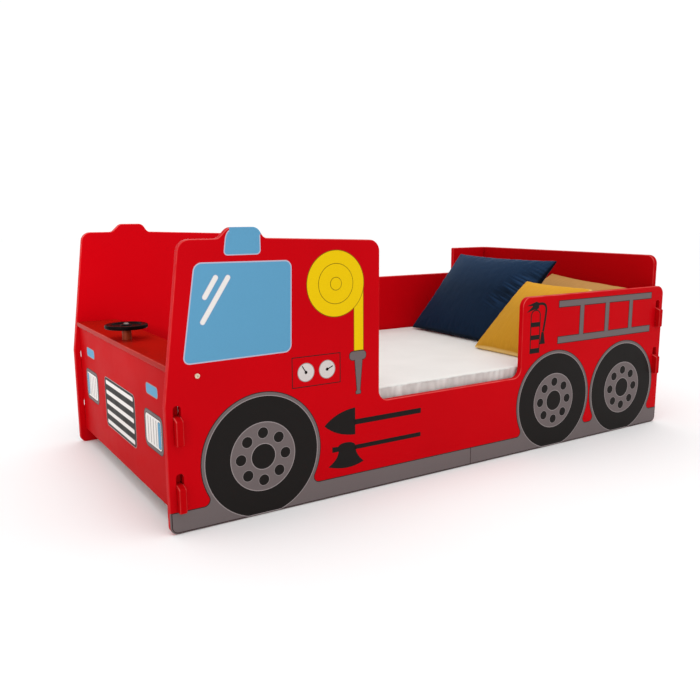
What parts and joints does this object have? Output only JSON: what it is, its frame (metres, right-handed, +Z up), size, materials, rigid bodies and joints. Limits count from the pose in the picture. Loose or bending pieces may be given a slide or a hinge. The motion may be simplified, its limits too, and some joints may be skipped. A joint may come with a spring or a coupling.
{
  "type": "toddler bed",
  "caption": "Toddler bed of painted board in a fire engine outline, with hooked end panels, slats, a mattress, loose cushions and a toy steering wheel that turns.",
  "frame": {"origin": "on the floor, under the middle of the box round the bed and its steering wheel", "axes": "+X from the cab to the pillow end, -Y towards the side with the low entry, +Z up"},
  "size_m": [1.4896, 0.7688, 0.586],
  "materials": {
    "red_board": "satin red paint with printed decoration on 15 mm board",
    "pine": "planed, unpainted",
    "beech": "fluted dowel, unpainted",
    "oiled_wood": "turned and oiled",
    "steel": "zinc plated",
    "cream_bolt": "cream enamel on the head",
    "black_plastic": "satin",
    "mattress_cover": "knitted cotton",
    "navy_satin": "satin weave",
    "mustard_cotton": "plain weave",
    "tan_cotton": "plain weave"
  },
  "bodies": {
    "bed_frame": {"near_side_panel": "red_board", "far_side_panel": "red_board", "front_panel": "red_board", "rear_panel": "red_board", "dash_shelf": "red_board", "near_shelf_batten": "pine", "far_shelf_batten": "pine", "batten_bolts": "cream_bolt", "batten_nuts": "steel", "shelf_screws": "steel", "shelf_dowels": "beech", "steering_post": "oiled_wood", "wheel_washer": "steel", "steering_bolt": "steel", "shelf_washer": "steel", "steering_nut": "steel", "near_slat_bearer": "pine", "far_slat_bearer": "pine", "bearer_screws": "steel", "slat_01": "pine", "slat_02": "pine", "slat_03": "pine", "slat_04": "pine", "slat_05": "pine", "slat_06": "pine", "slat_07": "pine", "slat_08": "pine", "slat_09": "pine", "slat_10": "pine", "slat_11": "pine", "slat_12": "pine", "slat_screws": "steel"},
    "steering_wheel": {"steering_wheel": "black_plastic"},
    "mattress": {"mattress": "mattress_cover"},
    "tan_cushion": {"tan_cushion": "tan_cotton"},
    "navy_cushion": {"navy_cushion": "navy_satin"},
    "mustard_cushion": {"mustard_cushion": "mustard_cotton"}
  },
  "joints": [
    {"name": "steering_turn", "type": "hinge", "parent": "bed_frame", "child": "steering_wheel", "pos_m": [-0.69675, 0, 0.3605], "axis": [0, 0, 1], "continuous": true},
    {"name": "mattress_lift", "type": "slide", "parent": "bed_frame", "child": "mattress", "axis": [0, 0, 1], "range_m": [0, 0.05]},
    {"name": "tan_lift", "type": "slide", "parent": "mattress", "child": "tan_cushion", "axis": [0, 0, 1], "range_m": [0, 0.3]},
    {"name": "navy_lift", "type": "slide", "parent": "tan_cushion", "child": "navy_cushion", "axis": [0, 0, 1], "range_m": [0, 0.3]},
    {"name": "mustard_lift", "type": "slide", "parent": "navy_cushion", "child": "mustard_cushion", "axis": [0, 0, 1], "range_m": [0, 0.3]}
  ]
}
